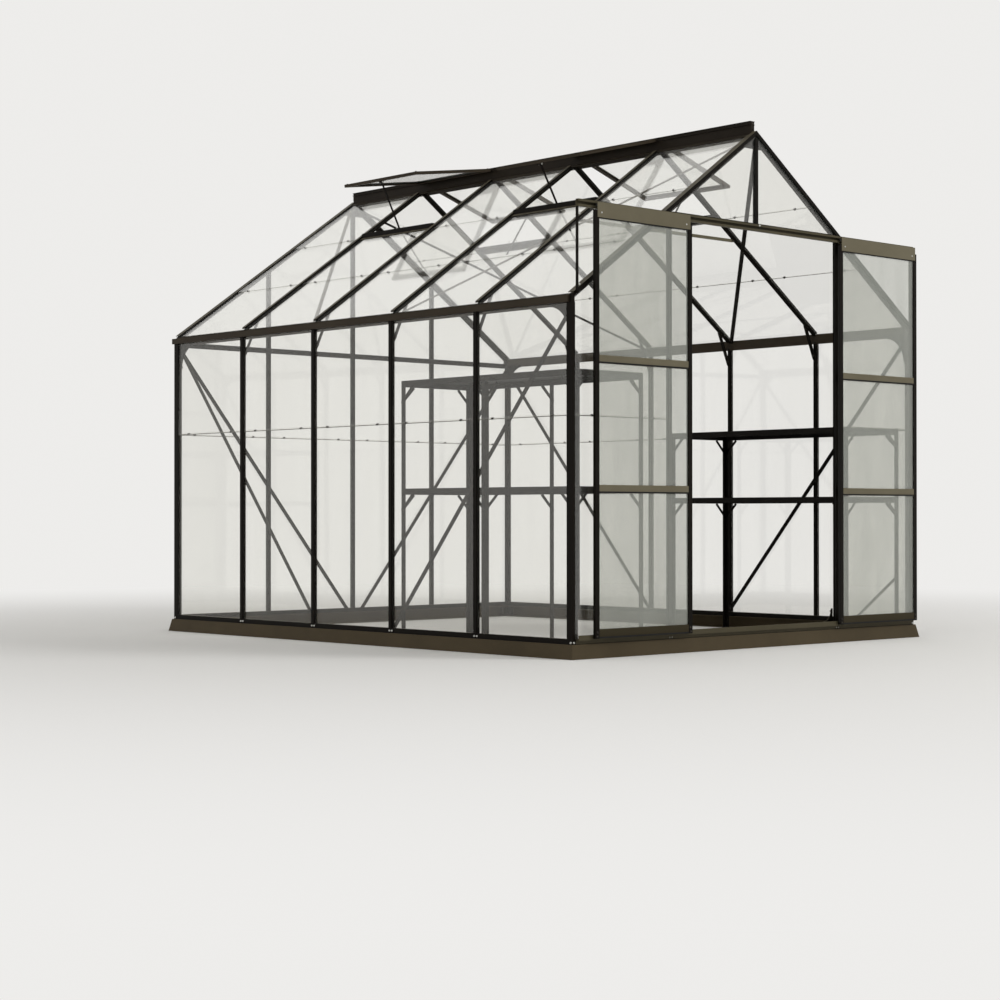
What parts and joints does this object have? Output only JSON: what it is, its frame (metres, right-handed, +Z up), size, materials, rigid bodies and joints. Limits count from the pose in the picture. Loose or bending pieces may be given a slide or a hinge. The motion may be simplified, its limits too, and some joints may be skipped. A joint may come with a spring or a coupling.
{
  "type": "glass greenhouse",
  "caption": "Free-standing aluminium-framed glass greenhouse with gable ends, roof vents, a pair of sliding doors on an outside track and staging inside",
  "frame": {"origin": "centre of the underside of the whole object's bounding box, on the ground", "axes": "+Z up; +Y along the ridge from the door gable to the rear gable; +X to the right for someone who faces the doors from outside"},
  "size_m": [2.568, 3.2054, 2.5597],
  "materials": {
    "dark_coated_aluminium": "powder-coated aluminium profile, near-black, satin",
    "olive_coated_aluminium": "powder-coated aluminium sheet and profile, dark olive grey, satin",
    "clear_glass": "clear horticultural glass",
    "door_glass": "clear glass, slightly dusty",
    "black_coated_steel": "folded sheet steel, powder-coated black",
    "nylon": "moulded nylon wheels and guides with plain axles"
  },
  "bodies": {
    "house": {"corner_posts": "dark_coated_aluminium", "side_bars_left": "dark_coated_aluminium", "side_bars_right": "dark_coated_aluminium", "gable_bars_front": "dark_coated_aluminium", "gable_bars_back": "dark_coated_aluminium", "back_crossbar": "dark_coated_aluminium", "door_lintel": "dark_coated_aluminium", "eave_gutter_left": "dark_coated_aluminium", "eave_gutter_right": "dark_coated_aluminium", "rafters_left": "dark_coated_aluminium", "rafters_right": "dark_coated_aluminium", "gable_rafters_left": "dark_coated_aluminium", "gable_rafters_right": "dark_coated_aluminium", "joint_plates": "dark_coated_aluminium", "knee_braces": "dark_coated_aluminium", "wall_braces": "dark_coated_aluminium", "roof_braces": "dark_coated_aluminium", "vent_lids": "dark_coated_aluminium", "vent_sills": "dark_coated_aluminium", "vent_stays": "dark_coated_aluminium", "door_track": "dark_coated_aluminium", "track_supports": "dark_coated_aluminium", "bottom_rails": "dark_coated_aluminium", "base_frame": "olive_coated_aluminium", "door_guide_rail": "olive_coated_aluminium", "ridge_beam": "olive_coated_aluminium", "side_glass_left": "clear_glass", "side_glass_right": "clear_glass", "gable_glass_front": "clear_glass", "gable_glass_back": "clear_glass", "roof_glass_left": "clear_glass", "roof_glass_right": "clear_glass", "vent_glass": "clear_glass", "staging_legs": "black_coated_steel", "staging_shelves": "black_coated_steel"},
    "left_door": {"left_door_stiles": "dark_coated_aluminium", "left_door_rails": "olive_coated_aluminium", "left_door_fascia": "olive_coated_aluminium", "left_door_glass": "door_glass", "left_door_runners": "nylon"},
    "right_door": {"right_door_stiles": "dark_coated_aluminium", "right_door_rails": "olive_coated_aluminium", "right_door_fascia": "olive_coated_aluminium", "right_door_glass": "door_glass", "right_door_runners": "nylon"}
  },
  "joints": [
    {"name": "left_door_slide", "type": "slide", "parent": "house", "child": "left_door", "axis": [1, 0, 0], "range_m": [-0.087, 0.506]},
    {"name": "right_door_slide", "type": "slide", "parent": "house", "child": "right_door", "axis": [-1, 0, 0], "range_m": [0, 0.596]}
  ]
}
